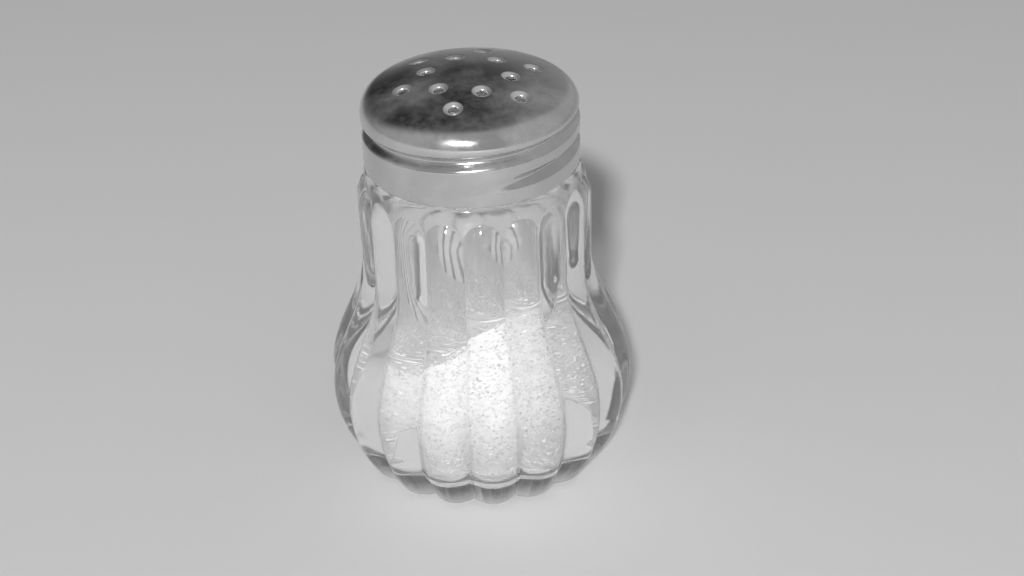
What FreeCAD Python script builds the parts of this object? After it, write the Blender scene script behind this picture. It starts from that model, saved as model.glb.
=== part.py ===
"""Glass salt shaker: a ribbed pressed-glass jar, a thin sheet-metal screw cap with pierced holes,
and the salt in the jar. Millimetres, +Z up, origin at the centre of the face the jar stands on.

Nodes: glass_jar, screw_cap, salt_fill.
The cap leaves the jar along its right-hand thread: a turn by +360 degrees lifts it one pitch.
"""

import FreeCAD
import Part
import math
import os

V = FreeCAD.Vector
ORIGIN = V(0, 0, 0)
UP = V(0, 0, 1)

# ---- driving dimensions of the jar ------------------------------------------------------------
bulb_radius = 29.0  # over the rib crests, at the widest height
bulb_height = 17.0  # height of the widest place
bulb_drop = 28.5  # half height of the ellipse that the lower bulb follows
neck_start = 43.0  # height at which the bulb has drawn in to the neck
neck_proud = 1.75  # how far the neck's rib crests stand out of the plain band above them
band_proud = 0.2  # how far that band stands out of the cap
rib_count = 18
rib_height_bulb = 1.9
rib_height_neck = 1.5
rib_turn = 15.0  # degrees from +X to the crest of the first rib
arch_height = 3.9  # rise of the ribs' round tops
band_height = 3.0  # plain glass between those tops and the ledge
shoulder_height = 61.9  # flat ledge under the cap's edge
shoulder_round = 0.8
heel_round = 1.5  # rounded corner at the foot
wall = 2.2  # glass between the inside and the bottom of the bulb's rib grooves
neck_wall = 3.35  # the same in the neck
mouth_wall = 2.85  # glass of the threaded mouth
mouth_depth = 2.4  # the mouth's straight bore begins this far below the ledge
mouth_taper = 6.5  # height over which the inside draws in to that bore
floor_thickness = 5.0
floor_corner = 6.0  # rounded corner of the inside at the floor

# ---- driving dimensions of the cap and the thread ---------------------------------------------
cap_radius = 19.5
cap_height = 16.8
cap_gap = 0.3  # air between the jar's ledge and the cap's edge
sheet = 0.4  # thickness of the cap's metal
cap_corner = 3.8  # radius between the cap's skirt and its dome
dome_rise = 6.7  # height of the dome above the start of the corner
dome_flat = 1.0  # radius of the flat at the dome's middle
thread_pitch = 4.65
thread_depth = 1.3  # how far the rolled groove goes in
groove_half = 1.6  # half the height of the rolled groove
groove_first = 4.85  # height of the groove above the cap's edge where it crosses +X
groove_begin = -87.0  # degrees from +X at which the lower end of the groove fades in
groove_end = 425.0  # degrees at which its upper end has faded out
groove_fade = 45.0  # degrees over which an end fades
thread_clearance = 0.35  # air between cap and glass at the thread
ridge_height = 1.15  # glass ridge that the groove hooks under
ridge_half = 1.9  # half the height of the glass ridge
ridge_above = 1.9  # height of the ridge's crest above the middle of the groove
ridge_begin = -110.0  # degrees from +X; the ridge's lower end
ridge_end = 250.0  # its upper end, one turn on
rim_gap = 0.6  # air between the jar's rim and the inside of the dome
rim_round = 0.7

# ---- driving dimensions of the holes ----------------------------------------------------------
ring_margin = 3.54  # from the outer ring of holes to where the cap's corner curves down
ring_gap = 4.5  # between the two rings of holes
holes_per_ring = 6
hole_turn = -12.0  # degrees from +X to the first hole of the inner ring
hole_radius = 0.95
dish_radius = 1.75  # the metal is dished in around each hole out to this radius
dish_depth = 0.4

# ---- driving dimensions of the salt -----------------------------------------------------------
salt_clearance = 0.15
salt_low = 27.6  # height of the salt on the -X side
salt_high = 39.6  # height of the salt on the +X side
slope_low_x = -10.0  # the slope between the two starts here
slope_high_x = 4.5  # and ends here

# ---- sizes that follow from them --------------------------------------------------------------
cap_bottom = shoulder_height + cap_gap
corner_height = cap_bottom + cap_height - dome_rise
corner_centre = cap_radius - cap_corner
# a sphere through the cap's top that meets the corner arc in a common tangent
dome_radius = (corner_centre**2 + dome_rise**2 - cap_corner**2) / (2 * (dome_rise - cap_corner))
dome_centre = cap_bottom + cap_height - dome_radius
dome_join = math.atan2(corner_centre, corner_height - dome_centre)
finish_radius = cap_radius - sheet - thread_depth - thread_clearance  # glass under the cap
bore_radius = finish_radius - mouth_wall
band_radius = cap_radius + band_proud
neck_radius = band_radius + neck_proud
inner_neck_radius = neck_radius - rib_height_neck - neck_wall
inner_bulb_radius = bulb_radius - rib_height_bulb - wall
arch_spring = shoulder_height - band_height - arch_height  # where the ribs' straight sides end
mouth_end = shoulder_height - mouth_depth
mouth_start = mouth_end - mouth_taper
outer_ring_radius = corner_centre - ring_margin
inner_ring_radius = outer_ring_radius - ring_gap
rib_angle = 360.0 / rib_count

# ---- spacing of the points that the curved surfaces run through -------------------------------
thread_step = 5.0  # degrees between the thread surfaces' columns
thread_row = 0.42  # height between their rows
rib_columns = 9
rib_row = 1.8
arch_row = 0.45
band_row = 0.7
wall_row = 1.5
dome_row = 1.8
arc_step = math.pi / 10
corner_steps = 8


def dome_height(radius, inset):
    """Height of the dome at a radius, on the surface that lies inset below the outer one."""
    return dome_centre + math.sqrt((dome_radius - inset) ** 2 - radius**2)


rim_height = dome_height(finish_radius, sheet) - rim_gap


def spread(first, last, step):
    """Even steps from first to last, no longer than step."""
    count = max(1, math.ceil(abs(last - first) / step))
    return [first + (last - first) * i / count for i in range(count + 1)]


def smooth(share):
    """0 to 1 with level ends."""
    share = min(1.0, max(0.0, share))
    return (1 - math.cos(math.pi * share)) / 2


def bump(share):
    """1 at 0, falling to 0 at 1 either side."""
    return math.cos(math.pi / 2 * share) ** 2 if abs(share) < 1 else 0.0


# ---- helical thread ---------------------------------------------------------------------------
def helix_height(angle):
    """Height of the middle of the cap's groove, at an angle counted on through the turns."""
    return cap_bottom + groove_first + thread_pitch * angle / 360


def ridge_at(angle, height, begin, end, above, half):
    """Share of the full depth of a helical ridge at a place, counting each turn that passes it."""
    share = 0.0
    for turn in range(-1, 3):
        along = angle + 360 * turn
        if begin < along < end:
            fade = smooth(min(along - begin, end - along) / groove_fade)
            share += fade * bump((height - helix_height(along) - above) / half)
    return share


def curve_through(points, parameters, closed):
    curve = Part.BSplineCurve()
    curve.interpolate(Points=points, PeriodicFlag=closed, Parameters=parameters)
    return curve


def face_through(grid, closed):
    """Face through columns of points. Every column has the same parameters, so that faces whose
    outer columns match meet exactly; closed joins the last column to the first."""
    middle = grid[len(grid) // 2]
    along = [0.0]
    for last, point in zip(middle, middle[1:]):
        along.append(along[-1] + last.distanceToPoint(point))
    upright = [curve_through(column, along, False) for column in grid]
    across = [float(i) for i in range(len(grid) + int(closed))]
    rows = []
    for poles in zip(*[curve.getPoles() for curve in upright]):
        rows.append(curve_through(list(poles), across, closed))
    surface = Part.BSplineSurface()
    surface.buildFromPolesMultsKnots(
        [list(poles) for poles in zip(*[row.getPoles() for row in rows])],
        rows[0].getMultiplicities(),
        upright[0].getMultiplicities(),
        rows[0].getKnots(),
        upright[0].getKnots(),
        closed,
        False,
        3,
        3,
    )
    return surface.toShape()


def closed_surface(path, depth_at):
    """One closed face around Z. path lists (radius, height, share of the thread's depth there)."""
    grid = []
    for angle in spread(0, 360, thread_step)[:-1]:
        turned = math.radians(angle)
        column = []
        for radius, height, share in path:
            r = radius + share * depth_at(angle, height)
            column.append(V(r * math.cos(turned), r * math.sin(turned), height))
        grid.append(column)
    return face_through(grid, True)


def level(edge):
    """Height of an edge that keeps to one height, or None."""
    first, last = edge.ParameterRange
    heights = [edge.valueAt(first + (last - first) * i / 4).z for i in range(5)]
    return heights[0] if max(heights) - min(heights) < 1e-4 else None


def edges_at(faces, z):
    """Edges of the faces that lie at height z."""
    found = []
    for face in faces:
        for edge in face.Edges:
            height = level(edge)
            if height is not None and abs(height - z) < 1e-4:
                found.append(edge)
    return found


def annulus(outer, inner):
    """Flat face between two closed rings of edges at one height."""
    wires = [Part.Wire(Part.__sortEdges__(ring)) for ring in (outer, inner)]
    return Part.makeFace(wires, "Part::FaceMakerBullseye")


def revolved(edges):
    """Surface swept once round Z by a profile in the XZ plane."""
    return Part.Wire(edges).revolve(ORIGIN, UP, 360)


def solid_from(faces):
    """One solid bounded by faces that meet edge to edge."""
    shell = Part.Shell(faces)
    shell.sewShape(0.002)
    if shell.ShapeType != "Shell":
        shell = shell.Shells[0]
    solid = Part.Solid(shell)
    if solid.Volume < 0:
        solid.reverse()
    return solid


# ---- jar --------------------------------------------------------------------------------------
def crest_radius(z):
    """Outline of the jar over its rib crests."""
    if z < bulb_height:
        return bulb_radius * math.sqrt(1 - ((bulb_height - z) / bulb_drop) ** 2)
    drawn = smooth((z - bulb_height) / (neck_start - bulb_height))
    return bulb_radius + (neck_radius - bulb_radius) * drawn


def rib_height(z):
    drawn = smooth((z - bulb_height) / (neck_start - bulb_height))
    return rib_height_bulb + (rib_height_neck - rib_height_bulb) * drawn


def groove_radius(z):
    """Bottom of the grooves between the ribs, easing into the plain band above them."""
    radius = crest_radius(z) - rib_height(z)
    eased = smooth((z - neck_start) / (arch_spring + arch_height - neck_start))
    return radius + (band_radius - radius) * eased


def heel_inset(z):
    """How far the rounded heel stands in from the outline."""
    if z >= heel_round:
        return 0.0
    return heel_round - math.sqrt(heel_round**2 - (heel_round - z) ** 2)


def shoulder_inset(z):
    start = shoulder_height - shoulder_round
    if z <= start:
        return 0.0
    return shoulder_round - math.sqrt(max(0.0, shoulder_round**2 - (z - start) ** 2))


def jar_radius(share, z):
    """Outside of the jar; share runs from -1 to 1 between the grooves either side of a rib."""
    above = max(0.0, z - arch_spring) / arch_height
    out = 1 - share**2 - above**2
    height = crest_radius(min(z, arch_spring)) - groove_radius(z)
    raised = max(0.0, out) * height
    return groove_radius(z) + raised - heel_inset(z) - shoulder_inset(z)


def rib_rows():
    """Heights at which a rib's surface is set, closer where it bends faster."""
    quarter = spread(0, math.pi / 2, arc_step)
    start = shoulder_height - shoulder_round
    rows = [heel_round * (1 - math.cos(a)) for a in quarter]
    rows += spread(heel_round, arch_spring, rib_row)[1:]
    rows += spread(arch_spring, arch_spring + arch_height, arch_row)[1:]
    rows += spread(arch_spring + arch_height, start, band_row)[1:]
    rows += [start + shoulder_round * math.sin(a) for a in quarter][1:]
    return rows


def rib_face():
    """One rib's outer surface, from the foot to the ledge, with its crest on +X."""
    grid = []
    for i in range(rib_columns):
        share = 2 * i / (rib_columns - 1) - 1
        turned = math.radians(share * rib_angle / 2)
        column = []
        for z in rib_rows():
            r = jar_radius(share, z)
            column.append(V(r * math.cos(turned), r * math.sin(turned), z))
        grid.append(column)
    return face_through(grid, False)


def ribs():
    faces = []
    for i in range(rib_count):
        face = rib_face() if not faces else faces[0].copy()
        face.rotate(ORIGIN, UP, rib_turn if i == 0 else rib_angle * i)
        faces.append(face)
    return faces


def inner_radius(z):
    """Inside of the jar above its rounded floor corner."""
    if z < bulb_height:
        drop = (bulb_height - z) / bulb_drop
        return inner_bulb_radius - bulb_radius * (1 - math.sqrt(1 - drop**2))
    if z < mouth_start:
        drawn = smooth((z - bulb_height) / (neck_start - bulb_height))
        return inner_bulb_radius + (inner_neck_radius - inner_bulb_radius) * drawn
    drawn = smooth((z - mouth_start) / (mouth_end - mouth_start))
    return inner_neck_radius + (bore_radius - inner_neck_radius) * drawn


def inner_profile(inset, top):
    """Edges of the jar's inside in the XZ plane, from the axis up to a height, drawn in by inset."""
    base = floor_thickness + inset
    corner = floor_corner - inset
    side = inner_radius(base + corner) - inset
    middle = math.sqrt(0.5) * corner
    floor_end = V(side - corner, 0, base)
    corner_end = V(side, 0, base + corner)
    corner_middle = V(side - corner + middle, 0, base + corner - middle)
    heights = spread(base + corner, min(top, mouth_end), wall_row)
    wall_points = [V(inner_radius(z) - inset, 0, z) for z in heights]
    curve = Part.BSplineCurve()
    curve.interpolate(wall_points)
    edges = [
        Part.LineSegment(V(0, 0, base), floor_end).toShape(),
        Part.Arc(floor_end, corner_middle, corner_end).toShape(),
        curve.toShape(),
    ]
    if top > mouth_end:
        straight = Part.LineSegment(wall_points[-1], V(bore_radius - inset, 0, top))
        edges.append(straight.toShape())
    return edges


def glass_ridge(angle, height):
    """How far the thread's ridge stands out of the jar's mouth."""
    share = ridge_at(angle, height, ridge_begin, ridge_end, ridge_above, ridge_half)
    return ridge_height * share


def finish_path():
    """The threaded outside of the mouth, from the ledge up and over its rounded rim."""
    start = rim_height - rim_round
    path = [(finish_radius, z, 1.0) for z in spread(shoulder_height, start, thread_row)]
    for a in spread(0, math.pi / 2, arc_step)[1:]:
        radius = finish_radius - rim_round * (1 - math.cos(a))
        path.append((radius, start + rim_round * math.sin(a), 0.0))
    return path


def glass_jar():
    rib_faces = ribs()
    foot = Part.Face(Part.Wire(Part.__sortEdges__(edges_at(rib_faces, 0))))
    finish = closed_surface(finish_path(), glass_ridge)
    inside = revolved(inner_profile(0, rim_height))
    ledge = annulus(edges_at(rib_faces, shoulder_height), edges_at([finish], shoulder_height))
    rim = annulus(edges_at([finish], rim_height), edges_at(inside.Faces[-1:], rim_height))
    return solid_from(rib_faces + [foot, finish] + ledge.Faces + rim.Faces + inside.Faces)


# ---- cap --------------------------------------------------------------------------------------
def cap_path(inset):
    """Skirt, corner and dome of the cap on the surface that lies inset below the outer one."""
    radius = cap_radius - inset
    path = [(radius, z, 1.0) for z in spread(cap_bottom, corner_height, thread_row)]
    last = math.pi / 2 - dome_join
    for a in spread(0, last, last / corner_steps)[1:]:
        r = corner_centre + (cap_corner - inset) * math.cos(a)
        z = corner_height + (cap_corner - inset) * math.sin(a)
        path.append((r, z, 1.0 - smooth(a / last)))
    for r in spread(path[-1][0], dome_flat, dome_row)[1:]:
        path.append((r, dome_height(r, inset), 0.0))
    return path


def rolled_groove(half):
    """Depth of the groove rolled into the skirt, as a function of angle and height."""

    def depth(angle, height):
        return -thread_depth * ridge_at(angle, height, groove_begin, groove_end, 0, half)

    return depth


def cap_face(inset, half):
    """One side of the cap's sheet, with the small flat that closes its top."""
    path = cap_path(inset)
    side = closed_surface(path, rolled_groove(half))
    top = Part.Face(Part.Wire(edges_at([side], path[-1][1])))
    return side, top


def hole_places():
    """(position on the dome's outer face, outward direction) of every hole."""
    places = []
    for ring_radius, start in ((inner_ring_radius, 0.0), (outer_ring_radius, 0.5)):
        for i in range(holes_per_ring):
            turned = math.radians(hole_turn + 360 * (i + start) / holes_per_ring)
            z = dome_height(ring_radius, 0)
            place = V(ring_radius * math.cos(turned), ring_radius * math.sin(turned), z)
            places.append((place, (place - V(0, 0, dome_centre)).normalize()))
    return places


def screw_cap():
    outer, outer_top = cap_face(0, groove_half)
    inner, inner_top = cap_face(sheet, groove_half + sheet / 3)
    edge = annulus(edges_at([outer], cap_bottom), edges_at([inner], cap_bottom))
    cap = solid_from([outer, outer_top, inner, inner_top] + edge.Faces)
    slope = (dish_radius - hole_radius) / dish_depth
    bowls, dishes, holes = [], [], []
    for place, out in hole_places():
        wide = dish_radius + slope * sheet / 2
        narrow = hole_radius + slope * sheet / 2
        bowls.append(Part.makeCone(wide, narrow, dish_depth, place - out * sheet / 2, -out))
        above = place + out * sheet
        wide = dish_radius + slope * sheet
        dishes.append(Part.makeCone(wide, hole_radius, dish_depth + sheet, above, -out))
        holes.append(Part.makeCylinder(hole_radius, 4 * sheet + 2 * dish_depth, above, -out))
    return cap.fuse(bowls).cut(dishes).cut(holes).Solids[0]


# ---- salt -------------------------------------------------------------------------------------
def salt_fill():
    """The salt: the jar's inside up to a surface that slopes up towards +X."""
    edges = inner_profile(salt_clearance, salt_high + 1)
    top = edges[-1].Vertexes[-1].Point
    edges.append(Part.LineSegment(top, V(0, 0, top.z)).toShape())
    edges.append(Part.LineSegment(V(0, 0, top.z), edges[0].Vertexes[0].Point).toShape())
    inside = Part.Face(Part.Wire(edges)).revolve(ORIGIN, UP, 360)
    reach = 2 * bulb_radius
    outline = [
        V(-reach, -reach, 0),
        V(-reach, -reach, salt_low),
        V(slope_low_x, -reach, salt_low),
        V(slope_high_x, -reach, salt_high),
        V(reach, -reach, salt_high),
        V(reach, -reach, 0),
        V(-reach, -reach, 0),
    ]
    heap = Part.Face(Part.makePolygon(outline)).extrude(V(0, 2 * reach, 0))
    return inside.common(heap).Solids[0]


def main():
    os.makedirs("parts", exist_ok=True)
    for make in (glass_jar, screw_cap, salt_fill):
        shape = make()
        box = shape.BoundBox
        print(
            make.__name__,
            shape.ShapeType,
            "valid" if shape.isValid() else "NOT VALID",
            "closed" if shape.isClosed() else "OPEN",
            f"{shape.Volume / 1000:.3f} cm3",
            f"z {box.ZMin:.2f} to {box.ZMax:.2f}",
            f"x {box.XMin:.2f} to {box.XMax:.2f}",
        )
        shape.exportStep(f"parts/{make.__name__}.step")


main()
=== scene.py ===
"""Looks of the glass salt shaker: ribbed glass jar, pierced screw cap and salt, on a pale floor.

Lengths are in millimetres while the shapes are worked out, and become metres in new_mesh.
The shapes repeat the CAD model's formulas, and their places come from its boxes.
"""

import math

import bpy
import numpy as np
from mathutils import Matrix, Vector, geometry, noise


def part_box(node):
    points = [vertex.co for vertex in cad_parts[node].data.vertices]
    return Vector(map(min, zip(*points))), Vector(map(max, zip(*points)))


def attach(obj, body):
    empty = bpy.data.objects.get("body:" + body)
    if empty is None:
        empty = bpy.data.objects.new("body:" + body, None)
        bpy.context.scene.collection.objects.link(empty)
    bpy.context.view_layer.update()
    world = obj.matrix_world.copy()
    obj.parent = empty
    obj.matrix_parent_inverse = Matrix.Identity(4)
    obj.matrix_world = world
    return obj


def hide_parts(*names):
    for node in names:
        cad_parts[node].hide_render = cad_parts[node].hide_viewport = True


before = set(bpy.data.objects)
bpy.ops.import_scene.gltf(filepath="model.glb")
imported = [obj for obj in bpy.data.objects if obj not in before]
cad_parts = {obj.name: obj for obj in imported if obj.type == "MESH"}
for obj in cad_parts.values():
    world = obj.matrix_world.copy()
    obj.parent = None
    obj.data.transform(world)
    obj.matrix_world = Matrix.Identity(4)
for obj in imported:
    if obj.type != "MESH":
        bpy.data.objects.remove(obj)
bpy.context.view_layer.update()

MM = 0.001

# ---- sizes of the jar -------------------------------------------------------------------------
bulb_radius = 29.0
bulb_height = 17.0
bulb_drop = 28.5
neck_radius = 21.45
neck_start = 43.0
band_radius = 19.7
rib_count = 18
rib_height_bulb = 1.9
rib_height_neck = 1.5
rib_turn = 15.0
arch_spring = 55.0
arch_height = 3.9
shoulder_height = 61.9
shoulder_round = 0.8
heel_round = 1.5
floor_thickness = 5.0
floor_corner = 6.0
bore_radius = 14.6
inner_bulb_radius = 24.9
inner_neck_radius = 16.6
mouth_start = 53.0
mouth_end = 59.5
inside_fine = 44.0  # above this height the inside tapers, and its rings lie closer
groove_round = 0.035  # share of a rib's half width that the round bottom of a groove takes
arch_soft = 0.05  # rounding of the edge where a rib ends in its arch, as a share of its height
outside_unevenness = 0.03
inside_unevenness = 0.05

# ---- sizes of the cap and the thread ----------------------------------------------------------
cap_radius = 19.5
cap_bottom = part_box("screw_cap")[0].z / MM
dome_rise = 6.7
cap_height = 16.8
sheet = 0.4
cap_corner = 3.8
thread_pitch = 4.65
thread_depth = 1.3
groove_half = 1.6
groove_first = 4.85
groove_begin = -87.0
groove_end = 425.0
groove_fade = 45.0
ridge_height = 1.15
ridge_half = 1.9
ridge_above = 1.9
ridge_begin = -110.0
ridge_end = 250.0
finish_radius = 17.45
rim_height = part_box("glass_jar")[1].z / MM
rim_round = 0.7
corner_height = cap_bottom + cap_height - dome_rise
corner_centre = cap_radius - cap_corner
dome_radius = (corner_centre**2 + dome_rise**2 - cap_corner**2) / (2 * (dome_rise - cap_corner))
dome_centre = cap_bottom + cap_height - dome_radius
dome_join = math.atan2(corner_centre, corner_height - dome_centre)

# ---- holes in the cap -------------------------------------------------------------------------
ring_radii = (7.66, 12.16)
holes_per_ring = 6
hole_turn = -12.0
hole_radius = 0.95
dish_radius = 1.75
dish_depth = 0.4
pierced_radius = 14.6  # within this the dome's mesh is laid round the holes
cap_columns = 360
hole_points = 36
# rings of points round a hole, as shares of the way from its rim to the dish's edge
dish_rings = (0.0, 0.06, 0.16, 0.34, 0.55, 0.8, 0.92, 1.02, 1.14, 1.35)
dome_step = 0.55  # distance between the dome's points away from the holes

# ---- salt -------------------------------------------------------------------------------------
salt_inset = 0.17  # air between the glass and the grains
salt_low = 27.6
salt_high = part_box("salt_fill")[1].z / MM
slope_low_x = -10.0
slope_high_x = 4.5
grain_bed = 0.18  # depth of the heap's skin under its outermost grains
crystal_count = 9000
crystal_least = 0.2
crystal_most = 0.4
salt_columns = 270

# ---- floor, light and camera ------------------------------------------------------------------
floor_gap = 0.03  # air under the foot
floor_radii = (120.0, 600.0, 4000.0)
floor_columns = 96
lamp_azimuth = -97  # degrees from +X towards +Y
lamp_elevation = 37
lamp_distance = 1.35  # metres, as are the next two
lamp_size = 0.076
aim_height = 0.035
lamp_watts = 14.6
room_level = 0.36
panel_level = 0.02
panel_direction = (118, 38)  # azimuth and elevation in degrees
panel_half_width = 62  # degrees from the panel's middle to where it has faded out


# ---- small helpers ----------------------------------------------------------------------------
def spread(first, last, step):
    """Even steps from first to last, no longer than step."""
    count = max(1, math.ceil(abs(last - first) / step))
    return [first + (last - first) * i / count for i in range(count + 1)]


def smooth(share):
    """0 to 1 with level ends."""
    return (1 - np.cos(np.pi * np.clip(share, 0, 1))) / 2


def bump(share):
    """1 at 0, falling to 0 at 1 either side."""
    return np.where(np.abs(share) < 1, np.cos(np.pi / 2 * share) ** 2, 0.0)


def new_mesh(name, points, faces, sharp_degrees=None):
    """Object from points in millimetres. Faces shade smoothly but for edges sharper than given."""
    mesh = bpy.data.meshes.new(name)
    mesh.from_pydata([tuple(p) for p in np.asarray(points) * MM], [], faces)
    mesh.validate()
    mesh.shade_smooth()
    if sharp_degrees is not None:
        mesh.set_sharp_from_angle(angle=math.radians(sharp_degrees))
    piece = bpy.data.objects.new(name, mesh)
    bpy.context.scene.collection.objects.link(piece)
    return piece


def lathe(rows):
    """Closed skin over rings of points. rows holds arrays of one point per column, and its first
    and last entries are single points on the axis."""
    columns = len(rows[1])
    points = np.concatenate([np.asarray(row, float).reshape(-1, 3) for row in rows])
    faces = []
    rings = len(rows) - 2
    last = len(points) - 1
    for c in range(columns):
        d = (c + 1) % columns
        faces.append((0, 1 + d, 1 + c))
        for r in range(rings - 1):
            a, b = 1 + r * columns, 1 + (r + 1) * columns
            faces.append((a + c, a + d, b + d, b + c))
        a = 1 + (rings - 1) * columns
        faces.append((a + c, a + d, last))
    return points, faces


def ring(angles, radius, height):
    """One ring of points; angles in radians, radius and height numbers or arrays."""
    radius = radius + 0 * angles
    return np.stack([radius * np.cos(angles), radius * np.sin(angles), height + 0 * angles], 1)


def waves(points, scale, stretch, seed):
    """Smooth noise from -1 to 1 at each point, drawn out along the height."""
    offset = Vector((seed * 7.3, seed * 3.1, seed * 5.7))
    return np.array(
        [noise.noise(Vector((p[0], p[1], p[2] / stretch)) / scale + offset) for p in points]
    )


# ---- thread -----------------------------------------------------------------------------------
def helix_height(angle):
    """Height of the middle of the cap's groove; angle in degrees, counted on through the turns."""
    return cap_bottom + groove_first + thread_pitch * angle / 360


def ridge_at(angles, height, begin, end, above, half):
    """Share of a helical ridge's full depth at angles in radians."""
    share = 0 * angles
    for turn in range(-1, 3):
        along = np.degrees(angles) + 360 * turn
        inside = (along > begin) & (along < end)
        fade = smooth(np.minimum(along - begin, end - along) / groove_fade)
        share = share + inside * fade * bump((height - helix_height(along) - above) / half)
    return share


# ---- jar --------------------------------------------------------------------------------------
def crest_radius(z):
    """Radius at the tops of the ribs."""
    below = bulb_radius * np.sqrt(1 - (np.maximum(0, bulb_height - z) / bulb_drop) ** 2)
    drawn = smooth((z - bulb_height) / (neck_start - bulb_height))
    return np.where(z < bulb_height, below, bulb_radius + (neck_radius - bulb_radius) * drawn)


def groove_radius(z):
    """Radius at the bottoms of the grooves, which run out into the band under the neck."""
    drawn = smooth((z - bulb_height) / (neck_start - bulb_height))
    radius = crest_radius(z) - rib_height_bulb - (rib_height_neck - rib_height_bulb) * drawn
    eased = smooth((z - neck_start) / (arch_spring + arch_height - neck_start))
    return radius + (band_radius - radius) * eased


def heel_inset(z):
    """How far the round of the foot's edge stands in."""
    up = np.maximum(0, heel_round - z)
    return heel_round - np.sqrt(heel_round**2 - up**2)


def shoulder_inset(z):
    """How far the round of the shoulder stands in."""
    up = np.maximum(0, z - shoulder_height + shoulder_round)
    return shoulder_round - np.sqrt(np.maximum(0, shoulder_round**2 - up**2))


def rib_fall(share):
    """How far a rib has fallen from its crest, 0 to 1, with a round bottom to the groove."""
    share = np.abs(share)
    start = 1 - groove_round
    past = np.maximum(0, share - start)
    side = np.where(share < start, share**2, start**2 + 2 * start * past)
    return (side - start / groove_round * past**2) / start


def jar_radius(share, z):
    """Outside of the jar; share runs from -1 to 1 between the grooves either side of a rib."""
    above = np.maximum(0.0, z - arch_spring) / arch_height
    out = 1 - rib_fall(share) - above**2
    out = np.where(above > 0, (out + np.sqrt(out**2 + arch_soft**2)) / 2, out)
    height = crest_radius(np.minimum(z, arch_spring)) - groove_radius(z)
    return groove_radius(z) + out * height - heel_inset(z) - shoulder_inset(z)


def inner_radius(z):
    """Inside of the jar above its rounded floor corner."""
    drop = np.maximum(0, bulb_height - z) / bulb_drop
    low = inner_bulb_radius - bulb_radius * (1 - np.sqrt(1 - drop**2))
    drawn = smooth((z - bulb_height) / (neck_start - bulb_height))
    high = inner_bulb_radius + (inner_neck_radius - inner_bulb_radius) * drawn
    mouth = inner_neck_radius + (bore_radius - inner_neck_radius) * smooth(
        (z - mouth_start) / (mouth_end - mouth_start)
    )
    return np.where(z < bulb_height, low, np.where(z < mouth_start, high, mouth))


def rib_columns():
    """(angle in radians, share across its rib) of every column of points round the jar."""
    half = [0, 0.17, 0.34, 0.5, 0.65, 0.78, 0.88, 0.945, 0.965, 0.985]
    shares = [-s for s in half[:0:-1]] + half + [1.0]
    angles, across = [], []
    for rib in range(rib_count):
        for share in shares:
            angles.append(math.radians(rib_turn + (rib + share / 2) * 360 / rib_count))
            across.append(share)
    return np.array(angles), np.array(across)


def outside_rings(angles, share):
    """Heights of the rings up the ribs. Near the arches the rings bend to follow them."""
    rings = [heel_round * (1 - math.cos(a)) + 0 * angles for a in spread(0, math.pi / 2, 0.2)]
    bend_start = arch_spring - 7
    rings += [z + 0 * angles for z in spread(heel_round, bend_start, 0.9)[1:]]
    arch = arch_spring + arch_height * np.sqrt(np.maximum(0, 1 - share**2))
    for up in spread(0, 1, 1 / 22)[1:]:
        rings.append(bend_start + (arch - bend_start) * math.sin(up * math.pi / 2))
    straight = arch_spring + arch_height + 0.6
    rings += [arch + (straight - arch) * up**1.5 for up in spread(0, 1, 1 / 9)[1:]]
    start = shoulder_height - shoulder_round
    rings += [z + 0 * angles for z in spread(straight, start, 0.4)[1:]]
    quarter = spread(0, math.pi / 2, 0.25)[1:]
    rings += [start + shoulder_round * math.sin(a) + 0 * angles for a in quarter]
    return rings


def pressed(points, amount, seed):
    """Points moved up to amount towards the axis, as on glass that was pressed in a mould."""
    wave_length, drawn_out = 7.0, 2.2
    flat = np.array(points)
    outward = flat * [1, 1, 0]
    length = np.maximum(1e-6, np.linalg.norm(outward, axis=1))[:, None]
    move = (waves(points, wave_length, drawn_out, seed) - 1) * amount / 2
    return flat + outward / length * move[:, None]


def outside(angles, share, z):
    return pressed(ring(angles, jar_radius(share, z), z), outside_unevenness, 1)


def inside(angles, share, z):
    return pressed(ring(angles, inner_radius(z), z), inside_unevenness, 2)


def normals_of(skin, angles, share, z):
    """Unit normals of a skin, away from the axis, from small steps round it and up it."""
    turn, rise = 1e-4, 1e-3
    step = turn * rib_count / math.pi
    across = skin(angles + turn, share + step, z) - skin(angles - turn, share - step, z)
    up = skin(angles, share, z + rise) - skin(angles, share, z - rise)
    normals = np.cross(across, up)
    return normals / np.linalg.norm(normals, axis=1)[:, None]


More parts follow.
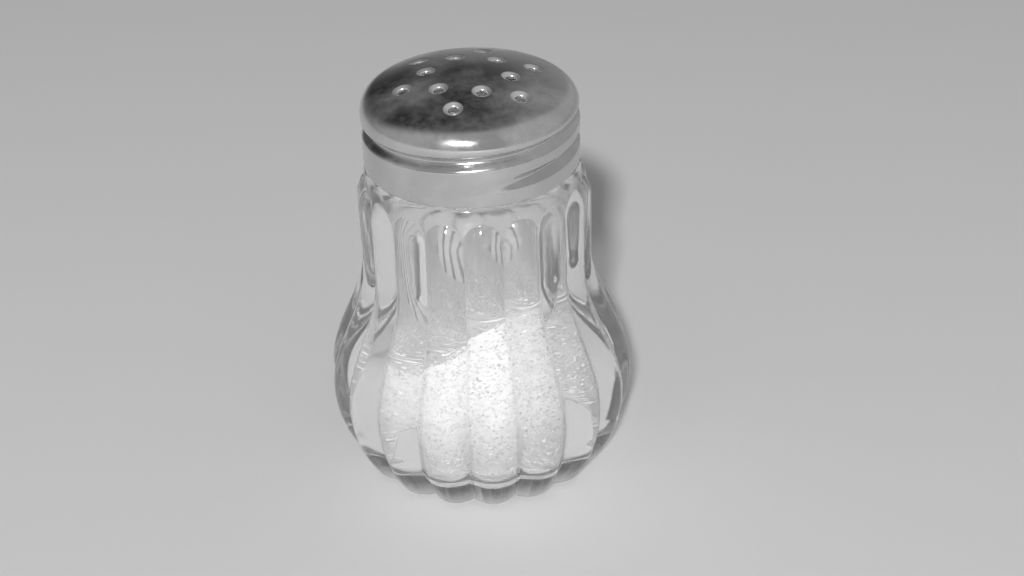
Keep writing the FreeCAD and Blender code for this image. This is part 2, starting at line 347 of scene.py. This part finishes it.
def jar_rings():
    """Rings of the jar from the middle of its foot up, over the rim and down inside, and the
    normals of those that need them exact."""
    angles, share = rib_columns()
    even = angles[0] + np.arange(len(angles)) * 2 * math.pi / len(angles)
    foot = jar_radius(share, 0 * angles)
    rings = [(0, 0, 0)]
    rings += [ring(angles, foot * t, 0) for t in (0.3, 0.6, 0.85)]
    exact = {}
    for z in outside_rings(angles, share):
        if z.min() > 0:
            exact[len(rings)] = normals_of(outside, angles, share, z)
        rings.append(outside(angles, share, z))
    ledge = jar_radius(share, 0 * angles + shoulder_height)
    for t in (0.2, 0.6):
        rings.append(ring(angles, ledge + (finish_radius - ledge) * t, shoulder_height))
    start = rim_height - rim_round
    for z in spread(shoulder_height, start, 0.4):
        out = ridge_at(even, z, ridge_begin, ridge_end, ridge_above, ridge_half)
        rings.append(ring(even, finish_radius + ridge_height * out, z))
    for a in spread(0, math.pi / 2, 0.3)[1:]:
        radius = finish_radius - rim_round * (1 - math.cos(a))
        rings.append(ring(even, radius, start + rim_round * math.sin(a)))
    inner_round = rim_round / 2
    for a in spread(math.pi / 2, 0, 0.4):
        radius = bore_radius + inner_round * (1 - math.cos(a))
        rings.append(ring(even, radius, rim_height - inner_round + inner_round * math.sin(a)))
    for z in spread(rim_height - inner_round, mouth_end, 1.5)[1:]:
        rings.append(ring(even, bore_radius, z))
    base = floor_thickness + floor_corner
    for z in spread(mouth_end, inside_fine, 0.4)[1:] + spread(inside_fine, base, 0.75)[1:]:
        exact[len(rings)] = -normals_of(inside, even, share, z + 0 * even)
        rings.append(inside(even, share, z + 0 * even))
    side = float(inner_radius(base))
    for a in spread(0, math.pi / 2, 0.12)[1:]:
        radius = side - floor_corner * (1 - math.cos(a))
        rings.append(ring(even, radius, base - floor_corner * math.sin(a)))
    rings += [ring(even, (side - floor_corner) * t, floor_thickness) for t in (0.8, 0.5, 0.2)]
    rings.append((0, 0, floor_thickness))
    return rings, exact


def make_jar():
    """The jar, with the normals of its ribs and its inside taken from their formulas."""
    rings, exact = jar_rings()
    columns = len(rings[1])
    points, faces = lathe(rings)
    jar = new_mesh("ribbed_glass_jar", points, faces, 50)
    mesh = jar.data
    normals = np.zeros(len(mesh.loops) * 3)
    mesh.corner_normals.foreach_get("vector", normals)
    normals = normals.reshape(-1, 3)
    corners = np.zeros(len(mesh.loops), int)
    mesh.loops.foreach_get("vertex_index", corners)
    row, column = (corners - 1) // columns + 1, (corners - 1) % columns
    rows = row.reshape(-1)
    first = np.zeros(len(mesh.polygons), int)
    count = np.zeros(len(mesh.polygons), int)
    mesh.polygons.foreach_get("loop_start", first)
    mesh.polygons.foreach_get("loop_total", count)
    for start, total in zip(first, count):
        if all(int(r) in exact for r in rows[start:start + total]):
            for i in range(start, start + total):
                normals[i] = exact[int(row[i])][column[i]]
    mesh.normals_split_custom_set([tuple(n) for n in normals])
    return jar


# ---- cap --------------------------------------------------------------------------------------
def dome_height(radius, inset):
    """Height of the dome at a radius, on a skin set in from its outside."""
    return dome_centre + np.sqrt((dome_radius - inset) ** 2 - radius**2)


def hole_centres():
    """Middles of the twelve holes in plan."""
    centres = []
    for row, radius in enumerate(ring_radii):
        for i in range(holes_per_ring):
            turned = math.radians(hole_turn + 360 * (i + row / 2) / holes_per_ring)
            centres.append((radius * math.cos(turned), radius * math.sin(turned)))
    return np.array(centres)


def cap_side(angles, inset, half):
    """Rings of one side of the sheet, from the cap's edge up to the pierced part of the dome."""
    rings = []
    radius = cap_radius - inset
    for z in spread(cap_bottom + sheet / 2, corner_height, 0.2):
        depth = thread_depth * ridge_at(angles, z, groove_begin, groove_end, 0, half)
        rings.append(ring(angles, radius - depth, z))
    last = math.pi / 2 - dome_join
    for a in spread(0, last, last / 16)[1:]:
        z = corner_height + (cap_corner - inset) * math.sin(a)
        depth = thread_depth * ridge_at(angles, z, groove_begin, groove_end, 0, half)
        r = corner_centre + (cap_corner - inset) * math.cos(a) - depth * (1 - smooth(a / last))
        rings.append(ring(angles, r, z))
    joined = corner_centre + (cap_corner - inset) * math.cos(last)
    for r in spread(joined, pierced_radius, 0.6)[1:]:
        rings.append(ring(angles, r, dome_height(r, inset)))
    return rings


def dish_fall(distance):
    """How far the sheet is pressed in at a distance from a hole's middle."""
    share = np.clip((dish_radius + 0.12 - distance) / (dish_radius + 0.12 - hole_radius), 0, 1)
    eased = np.where(share < 0.25, 2 * share**2, share - 0.125) / 0.875
    lip = np.clip((hole_radius + 0.1 - distance) / 0.1, 0, 1) ** 2 * 0.12
    return dish_depth * eased + lip


def pierced_plan():
    """Points, triangles and rims, in plan, of the part of the dome that the holes go through."""
    turn = [2 * math.pi * i / cap_columns for i in range(cap_columns)]
    plan = [(pierced_radius * math.cos(a), pierced_radius * math.sin(a)) for a in turn]
    centres = hole_centres()
    rims = []
    around = [2 * math.pi * i / hole_points for i in range(hole_points)]
    for x, y in centres:
        rims.append(range(len(plan), len(plan) + hole_points))
        for share in dish_rings:
            r = hole_radius + (dish_radius - hole_radius) * share
            plan += [(x + r * math.cos(a), y + r * math.sin(a)) for a in around]
    outermost = hole_radius + (dish_radius - hole_radius) * dish_rings[-1]
    row_step = math.sqrt(0.75)  # height of a row of even triangles, as a share of their side
    rows = int(pierced_radius / dome_step / row_step) + 1
    across = int(pierced_radius / dome_step) + 2
    for j in range(-rows, rows + 1):
        for i in range(-across, across + 1):
            p = np.array([(i + (j % 2) / 2) * dome_step, j * dome_step * row_step])
            clear = np.linalg.norm(centres - p, axis=1).min() > outermost + dome_step / 2
            if clear and np.linalg.norm(p) < pierced_radius - dome_step / 2:
                plan.append(tuple(p))
    out, _, faces, origins, _, _ = geometry.delaunay_2d_cdt(
        [Vector(p) for p in plan], [], [], 0, 1e-6
    )
    number = {}
    for index, merged in enumerate(origins):
        for origin in merged:
            number[origin] = index
    kept = []
    flat = np.array([tuple(p) for p in out])
    for face in faces:
        middle = flat[list(face)].mean(0)
        if np.linalg.norm(centres - middle, axis=1).min() > hole_radius * 0.99:
            kept.append(tuple(face))
    edge = [number[i] for i in range(cap_columns)]
    return flat, kept, edge, [[number[i] for i in rim] for rim in rims]


def pierced_points(plan, inset):
    """The plan raised on to one side of the sheet, with a dish pressed in round each hole."""
    radius = np.linalg.norm(plan, axis=1)
    distance = np.linalg.norm(plan[:, None] - hole_centres()[None], axis=2).min(1)
    points = np.stack([plan[:, 0], plan[:, 1], dome_height(radius, 0)], 1)
    normal = points - [0, 0, dome_centre]
    normal /= np.linalg.norm(normal, axis=1)[:, None]
    level = points - normal * inset
    fixed = radius > pierced_radius - 1e-3
    level[fixed, 2] = dome_height(pierced_radius, inset)
    level[fixed, :2] = plan[fixed]
    return level - normal * dish_fall(distance)[:, None]


def dented(points):
    """Points moved in a little, as on thin sheet that has been handled."""
    away = points - [0, 0, dome_centre]
    away /= np.linalg.norm(away, axis=1)[:, None]
    broad, fine = 9.0, 4.0  # lengths of the two sizes of wave
    broad_depth, fine_depth = 0.045, 0.008
    deep = (waves(points, broad, 1.0, 3) - 1) * broad_depth
    deep = deep + (waves(points, fine, 1.0, 4) - 1) * fine_depth
    return points + away * deep[:, None]


def make_cap():
    """The cap: both sides of the sheet, its edge, the pierced dome and the walls of the holes."""
    angles = np.array([2 * math.pi * i / cap_columns for i in range(cap_columns)])
    outer = cap_side(angles, 0, groove_half)
    inner = cap_side(angles, sheet, groove_half + sheet / 3)
    edge = []
    for a in spread(0, math.pi, math.pi / 6)[1:-1]:
        radius = cap_radius - sheet / 2 * (1 + math.cos(a))
        edge.append(ring(angles, radius, cap_bottom + sheet / 2 * (1 - math.sin(a))))
    rings = inner[::-1] + edge + outer
    points = np.concatenate(rings)
    faces = []
    for r in range(len(rings) - 1):
        for c in range(cap_columns):
            d = (c + 1) % cap_columns
            a, b = r * cap_columns, (r + 1) * cap_columns
            faces.append((a + c, a + d, b + d, b + c))
    inner_side = [1.0] * (len(inner) * cap_columns)
    inner_side += [0.0] * ((len(edge) + len(outer)) * cap_columns)
    plan, triangles, plan_edge, rims = pierced_plan()
    sides = []
    for inset, first in ((0, (len(rings) - 1) * cap_columns), (sheet, 0)):
        start = len(points)
        number = list(range(start, start + len(plan)))
        for c, index in enumerate(plan_edge):
            number[index] = first + c
        points = np.concatenate([points, pierced_points(plan, inset)])
        inner_side += [float(inset > 0)] * len(plan)
        for t in triangles:
            face = tuple(number[i] for i in t)
            faces.append(face if inset == 0 else face[::-1])
        sides.append(number)
    for rim in rims:
        for i in range(hole_points):
            j = (i + 1) % hole_points
            faces.append((sides[0][rim[j]], sides[0][rim[i]], sides[1][rim[i]], sides[1][rim[j]]))
    used = sorted({i for face in faces for i in face})
    order = {old: new for new, old in enumerate(used)}
    faces = [tuple(order[i] for i in face) for face in faces]
    points = points[used]
    cap = new_mesh("pierced_screw_cap", dented(points), faces, 60)
    near = np.linalg.norm(points[:, None, :2] - hole_centres()[None], axis=2).min(1)
    raised = points[:, 2] > corner_height
    # mask of the holes' dishes: duller steel there, and a painted highlight in the cap's colour
    near_hole = np.where(raised, np.clip((dish_radius + 0.05 - near) / 0.2, 0, 1), 0)
    within = np.array(inner_side)[used]
    for name, values in (("hole_rim", near_hole * (1 - within)), ("inner_side", within)):
        marks = cap.data.attributes.new(name, "FLOAT", "POINT")
        marks.data.foreach_set("value", values.astype(np.float32))
    return cap


# ---- salt -------------------------------------------------------------------------------------
def heap_height(x, y):
    """Height of the salt's surface: level at the left, a slope, and higher at the right."""
    share = (x - slope_low_x + 1.5) / (slope_high_x - slope_low_x + 3)
    rise = 0.6 * np.clip(share, 0, 1) + 0.4 * smooth(share)
    return salt_low + (salt_high - 0.6 - salt_low) * rise


def salt_rings():
    """Rings of the salt from the middle of the floor, up the wall and in over the heap."""
    angles = np.array([2 * math.pi * i / salt_columns for i in range(salt_columns)])
    floor_level = floor_thickness + salt_inset
    base = floor_thickness + floor_corner
    side = float(inner_radius(base)) - salt_inset
    rings = [(0, 0, floor_level)]
    corner = floor_corner - salt_inset
    for t in spread(0, 1, 1 / 30)[1:]:
        rings.append(ring(angles, (side - corner) * t, floor_level))
    for a in spread(0, math.pi / 2, math.pi / 20)[1:]:
        rings.append(
            ring(angles, side - corner * (1 - math.sin(a)), base - corner * math.cos(a))
        )
    top = heap_height(20 * np.cos(angles), 20 * np.sin(angles))
    for _ in range(6):
        reach = inner_radius(top) - salt_inset
        top = heap_height(reach * np.cos(angles), reach * np.sin(angles))
    for t in spread(0, 1, 1 / 70)[1:]:
        z = base + (top - base) * t
        rings.append(ring(angles, inner_radius(z) - salt_inset, z))
    reach = inner_radius(top) - salt_inset
    for t in spread(1, 0, 1 / 50)[1:-1]:
        x, y = reach * t * np.cos(angles), reach * t * np.sin(angles)
        rings.append(np.stack([x, y, heap_height(x, y)], 1))
    rings.append((0, 0, float(heap_height(0.0, 0.0))))
    return rings


def make_salt():
    """The heap's uneven skin, with crystals that stand out of it."""
    points, faces = lathe(salt_rings())
    heart = np.array([0, 0, 18.0])
    inward = heart - points
    inward /= np.linalg.norm(inward, axis=1)[:, None]
    fine = np.array([noise.noise(Vector(p) * 2.3) for p in points])
    coarse = np.array([noise.noise(Vector(p) * 0.5 + Vector((9, 4, 2))) for p in points])
    depth = grain_bed + 0.05 * (1 + fine) + 0.05 * (1 + coarse)
    corners, sides = crystals(points, faces, inward)
    points = points + inward * depth[:, None]
    start = len(points)
    faces = faces + [tuple(int(i) + start for i in side) for side in sides]
    return new_mesh("salt_heap", np.concatenate([points, corners]), faces, 30)


def crystals(points, faces, inward):
    """Corners and faces of cubes of salt strewn evenly over the heap, just within its skin."""
    draw = np.random.default_rng(5)
    quads = np.array([face for face in faces if len(face) == 4])
    quads = quads[points[quads[:, 0], 2] > floor_thickness + 0.5]
    a, b, d = points[quads[:, 0]], points[quads[:, 1]], points[quads[:, 3]]
    area = np.linalg.norm(np.cross(b - a, d - a), axis=1)
    chosen = draw.choice(len(quads), crystal_count, p=area / area.sum())
    u, v = draw.random((2, crystal_count, 1))
    middle = a[chosen] + (b - a)[chosen] * u + (d - a)[chosen] * v
    size = draw.uniform(crystal_least, crystal_most, (crystal_count, 1))
    middle = middle + inward[quads[chosen, 0]] * size * 0.87
    turn = np.linalg.qr(draw.normal(size=(crystal_count, 3, 3)))[0]
    turn[:, 0] *= np.sign(np.linalg.det(turn))[:, None]
    stretch = draw.uniform(0.75, 1.0, (crystal_count, 1, 3)) * size[:, :, None] / 2
    cube = np.array([[x, y, z] for x in (-1, 1) for y in (-1, 1) for z in (-1, 1)])
    corners = middle[:, None] + (cube[None] * stretch) @ turn
    sides = np.array(
        [(0, 1, 3, 2), (4, 6, 7, 5), (0, 4, 5, 1), (2, 3, 7, 6), (0, 2, 6, 4), (1, 5, 7, 3)]
    )
    all_sides = sides[None] + 8 * np.arange(crystal_count)[:, None, None]
    return corners.reshape(-1, 3), all_sides.reshape(-1, 4)


# ---- materials --------------------------------------------------------------------------------
def material(name):
    made = bpy.data.materials.new(name)
    made.use_nodes = True
    tree = made.node_tree
    return made, tree, tree.nodes["Principled BSDF"]


def add(tree, kind, values=(), **settings):
    """New node with its settings, and values for its inputs by name."""
    node = tree.nodes.new(kind)
    for name, value in settings.items():
        setattr(node, name, value)
    for name, value in values:
        node.inputs[name].default_value = value
    return node


def noise_at(tree, scale, detail=3.0, stretch=(1, 1, 1), rough=0.5):
    """Noise in object coordinates; scale in waves per metre, stretched by a factor on each axis."""
    place = add(tree, "ShaderNodeTexCoord")
    mapping = add(tree, "ShaderNodeMapping", [("Scale", stretch)])
    values = [("Scale", scale), ("Detail", detail), ("Roughness", rough)]
    texture = add(tree, "ShaderNodeTexNoise", values)
    tree.links.new(place.outputs["Object"], mapping.inputs["Vector"])
    tree.links.new(mapping.outputs["Vector"], texture.inputs["Vector"])
    return texture.outputs["Fac"]


def ranged(tree, value, low, high, new_low, new_high):
    """value mapped from low..high to new_low..new_high, kept within them."""
    values = [("From Min", low), ("From Max", high), ("To Min", new_low), ("To Max", new_high)]
    node = add(tree, "ShaderNodeMapRange", values)
    tree.links.new(value, node.inputs["Value"])
    return node.outputs["Result"]


def grey_between(tree, factor, dark, light):
    """Colour between two greys."""
    ramp = add(tree, "ShaderNodeValToRGB")
    ramp.color_ramp.elements[0].color = (dark, dark, dark, 1)
    ramp.color_ramp.elements[1].color = (light, light, light, 1)
    tree.links.new(factor, ramp.inputs["Fac"])
    return ramp.outputs["Color"]


def bumped(tree, shader, height, distance):
    """Fine relief on a shader, distance metres deep."""
    node = add(tree, "ShaderNodeBump", [("Strength", 1.0), ("Distance", distance)])
    tree.links.new(height, node.inputs["Height"])
    tree.links.new(node.outputs["Normal"], shader.inputs["Normal"])


def height_in(tree):
    """Height in metres."""
    place = add(tree, "ShaderNodeTexCoord")
    parts = add(tree, "ShaderNodeSeparateXYZ")
    tree.links.new(place.outputs["Object"], parts.inputs["Vector"])
    return parts.outputs["Z"]


def glass_material():
    """Clear glass, milky at the foot and less smooth at the neck. Lamps shine through it. The
    foot's milkiness is partly the glass's own frosting and partly painted light, and its lowest
    edge is kept clear to show a painted dark line at the floor.
    """
    # shares of light that pass into the glass: in its body, at the foot, whose milkiness is partly
    # painted light, and at the foot's lower edge, kept clear for a painted dark line
    clear, clear_at_foot_painted_light, clear_at_painted_heel_shade = 0.92, 0.6, 0.97
    lamp_through = 0.61  # share of a lamp's light left after each face of the glass
    neck_from, neck_to, neck_rough = 0.042, 0.052, 0.09
    foot_light_from, foot_light_to = 0.002, 0.006
    heel_shade_from, heel_shade_to = 0.0008, 0.0013
    ripple_scale, ripple_depth = 300, 0.000006
    made, tree, shader = material("pressed_glass")
    height = height_in(tree)
    neck_haze = ranged(tree, height, neck_from, neck_to, 0.0, neck_rough)
    tree.links.new(neck_haze, shader.inputs["Roughness"])
    # the foot's milky white is partly painted light, standing in for light that the base gathers
    milky_foot_and_painted_light = ranged(tree, height, foot_light_from, foot_light_to, clear_at_foot_painted_light, clear)
    # the lowest millimetre of the foot is kept clear so that it shows as a dark line: painted
    # contact shade where the foot meets the floor
    painted_heel_shade = ranged(tree, height, heel_shade_from, heel_shade_to, clear_at_painted_heel_shade, 0.5)
    clear_share = add(tree, "ShaderNodeMath", operation="MAXIMUM")
    tree.links.new(milky_foot_and_painted_light, clear_share.inputs[0])
    tree.links.new(painted_heel_shade, clear_share.inputs[1])
    shader.inputs["Transmission Weight"].default_value = clear
    tree.links.new(clear_share.outputs["Value"], shader.inputs["Transmission Weight"])
    shader.inputs["IOR"].default_value = 1.51
    tint = grey_between(tree, noise_at(tree, 60, 2.0), 0.97, 1.0)
    tree.links.new(tint, shader.inputs["Base Color"])
    ripple = noise_at(tree, ripple_scale, 2.0, (1, 1, 0.4))
    bumped(tree, shader, ripple, ripple_depth)
    lamp_rays = add(tree, "ShaderNodeLightPath")
    grey = (lamp_through, lamp_through, lamp_through, 1)
    see_through = add(tree, "ShaderNodeBsdfTransparent", [("Color", grey)])
    either = add(tree, "ShaderNodeMixShader")
    tree.links.new(lamp_rays.outputs["Is Shadow Ray"], either.inputs["Fac"])
    tree.links.new(shader.outputs["BSDF"], either.inputs[1])
    tree.links.new(see_through.outputs["BSDF"], either.inputs[2])
    tree.links.new(either.outputs["Shader"], tree.nodes["Material Output"].inputs["Surface"])
    return made


def mixed(tree, factor, first, second):
    """Number between two sockets, or a socket and a number."""
    node = add(tree, "ShaderNodeMix", data_type="FLOAT")
    for name, value in (("Factor", factor), ("A", first), ("B", second)):
        if isinstance(value, float):
            node.inputs[name].default_value = value
        else:
            tree.links.new(value, node.inputs[name])
    return node.outputs["Result"]


def metal_material():
    """Polished steel with hazy patches, duller in the holes' dishes, below and inside. In the
    dishes the grey is also lighter, a painted highlight.
    """
    rim_metallic, hazed_metallic = 0.75, 0.78
    rim_rough, hazed_rough, inside_rough = 0.24, 0.34, 0.5
    skirt_from, skirt_to, skirt_rough = 0.064, 0.0675, 0.12
    cloud_scale, haze_scale, wipe_scale, brush_scale = 140, 75, 110, 900
    brush_depth = 0.000012
    made, tree, shader = material("worn_cap_steel")
    rim = add(tree, "ShaderNodeAttribute", attribute_name="hole_rim").outputs["Fac"]
    dull = add(tree, "ShaderNodeAttribute", attribute_name="inner_side").outputs["Fac"]
    # at the holes' rims the base colour goes to its lightest grey: a painted highlight on the
    # dishes
    cloud = mixed(tree, rim, noise_at(tree, cloud_scale, 4.0), 2.0)
    tree.links.new(grey_between(tree, cloud, 0.56, 0.74), shader.inputs["Base Color"])
    hazy = noise_at(tree, haze_scale, 7.0, (1, 1, 1), 0.65)
    haze = ranged(tree, hazy, 0.45, 0.7, 0.0, 1.0)
    hazed_metal = mixed(tree, haze, 1.0, hazed_metallic)
    tree.links.new(mixed(tree, rim, hazed_metal, rim_metallic), shader.inputs["Metallic"])
    band = ranged(tree, height_in(tree), skirt_from, skirt_to, skirt_rough, 0.0)
    marks = noise_at(tree, wipe_scale, 6.0, (1, 1, 1), 0.7)
    wiped = ranged(tree, marks, 0.35, 0.7, 0.07, 0.19)
    rough = add(tree, "ShaderNodeMath", operation="ADD")
    tree.links.new(mixed(tree, haze, wiped, hazed_rough), rough.inputs[0])
    tree.links.new(band, rough.inputs[1])
    rimmed = mixed(tree, rim, rough.outputs["Value"], rim_rough)
    tree.links.new(mixed(tree, dull, rimmed, inside_rough), shader.inputs["Roughness"])
    brushed = noise_at(tree, brush_scale, 3.0, (1, 1, 0.2))
    bumped(tree, shader, brushed, brush_depth)
    return made


def salt_material():
    """Small grains of differing brightness."""
    darkest, lightest = 0.29, 0.58
    grain_scale, cloud_scale, grain_relief = 3200.0, 900, 0.00004
    made, tree, shader = material("table_salt")
    place = add(tree, "ShaderNodeTexCoord")
    grains = add(tree, "ShaderNodeTexVoronoi", [("Scale", grain_scale)])
    tree.links.new(place.outputs["Object"], grains.inputs["Vector"])
    cell = add(tree, "ShaderNodeSeparateColor")
    tree.links.new(grains.outputs["Color"], cell.inputs["Color"])
    grain = ranged(tree, cell.outputs["Red"], 0.0, 0.3, 0.25, 1.0)
    cloud = ranged(tree, noise_at(tree, cloud_scale, 4.0), 0.3, 0.7, 0.7, 1.0)
    both = add(tree, "ShaderNodeMath", operation="MULTIPLY")
    tree.links.new(grain, both.inputs[0])
    tree.links.new(cloud, both.inputs[1])
    colour = grey_between(tree, both.outputs["Value"], darkest, lightest)
    tree.links.new(colour, shader.inputs["Base Color"])
    shader.inputs["Roughness"].default_value = 0.3
    bumped(tree, shader, grains.outputs["Distance"], grain_relief)
    return made


def floor_material():
    made, tree, shader = material("pale_floor")
    cloud = noise_at(tree, 30, 3.0)
    tree.links.new(grey_between(tree, cloud, 0.685, 0.7), shader.inputs["Base Color"])
    shader.inputs["Roughness"].default_value = 0.85
    shader.inputs["Specular IOR Level"].default_value = 0.1
    return made


# ---- stage, lights and camera -----------------------------------------------------------------
def direction(azimuth, elevation):
    """Unit vector; degrees, azimuth counted from +X towards +Y."""
    turned, raised = math.radians(azimuth), math.radians(elevation)
    return Vector(
        (math.cos(raised) * math.cos(turned), math.cos(raised) * math.sin(turned), math.sin(raised))
    )


def make_floor():
    """A large disc just under the foot."""
    turns = [2 * math.pi * i / floor_columns for i in range(floor_columns)]
    points = []
    for radius in floor_radii:
        points += [(radius * math.cos(a), radius * math.sin(a), -floor_gap) for a in turns]
    points.append((0, 0, -floor_gap))
    faces = []
    for c in range(floor_columns):
        d = (c + 1) % floor_columns
        faces.append((c, d, len(points) - 1))
        for r in range(len(floor_radii) - 1):
            a, b = r * floor_columns, (r + 1) * floor_columns
            faces.append((a + c, b + c, b + d, a + d))
    floor = new_mesh("floor", points, faces)
    floor.data.materials.append(floor_material())
    return floor


def make_lamp():
    """Square soft lamp in front. It is hidden from rays that pass through glass, because shadow
    rays already bring its light to what is inside."""
    light = bpy.data.lights.new("key_lamp", "AREA")
    light.size = lamp_size
    light.energy = lamp_watts
    lamp = bpy.data.objects.new("key_lamp", light)
    bpy.context.scene.collection.objects.link(lamp)
    away = direction(lamp_azimuth, lamp_elevation)
    lamp.location = Vector((0, 0, aim_height)) + away * lamp_distance
    lamp.rotation_euler = away.to_track_quat("Z", "Y").to_euler()
    lamp.visible_transmission = False


def make_room():
    """An even soft room with one dark panel behind the shaker, the same for every kind of ray."""
    world = bpy.data.worlds.new("room")
    bpy.context.scene.world = world
    world.use_nodes = True
    tree = world.node_tree
    place = add(tree, "ShaderNodeTexCoord")
    toward = add(tree, "ShaderNodeVectorMath", operation="DOT_PRODUCT")
    toward.inputs[1].default_value = direction(*panel_direction)
    tree.links.new(place.outputs["Generated"], toward.inputs[0])
    values = [("From Min", math.cos(math.radians(panel_half_width))), ("From Max", 1.0)]
    values += [("To Min", room_level), ("To Max", panel_level)]
    level = add(tree, "ShaderNodeMapRange", values, interpolation_type="SMOOTHSTEP")
    tree.links.new(toward.outputs["Value"], level.inputs["Value"])
    tree.links.new(level.outputs["Result"], tree.nodes["Background"].inputs["Color"])


def make_camera():
    """Looks down at the shaker from the front, rolled a little."""
    lens, sensor = 56.25, 36.0
    elevation, roll = math.radians(32.12), math.radians(-1.82)
    distance, aside, up = 321.15, 5.52, 28.83
    back = Vector((0, -math.cos(elevation), math.sin(elevation)))
    right = Vector((1, 0, 0))
    above = Vector((0, math.sin(elevation), math.cos(elevation)))
    turned_right = right * math.cos(roll) + above * math.sin(roll)
    turned_up = above * math.cos(roll) - right * math.sin(roll)
    data = bpy.data.cameras.new("camera")
    data.lens = lens
    data.sensor_width = sensor
    data.clip_start = 0.01
    data.clip_end = 20
    camera = bpy.data.objects.new("camera", data)
    bpy.context.scene.collection.objects.link(camera)
    place = (turned_right * aside + turned_up * up + back * distance) * MM
    turn = Matrix((turned_right, turned_up, back)).transposed()
    camera.matrix_world = Matrix.Translation(place) @ turn.to_4x4()
    bpy.context.scene.camera = camera


def main():
    bpy.context.scene.view_settings.view_transform = "Standard"
    make_camera()
    make_room()
    make_floor()
    make_lamp()

    jar = make_jar()
    jar.data.materials.append(glass_material())
    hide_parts("glass_jar")
    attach(jar, "jar")

    cap = make_cap()
    cap.data.materials.append(metal_material())
    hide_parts("screw_cap")
    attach(cap, "cap")

    salt = make_salt()
    salt.data.materials.append(salt_material())
    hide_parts("salt_fill")
    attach(salt, "jar")


main()
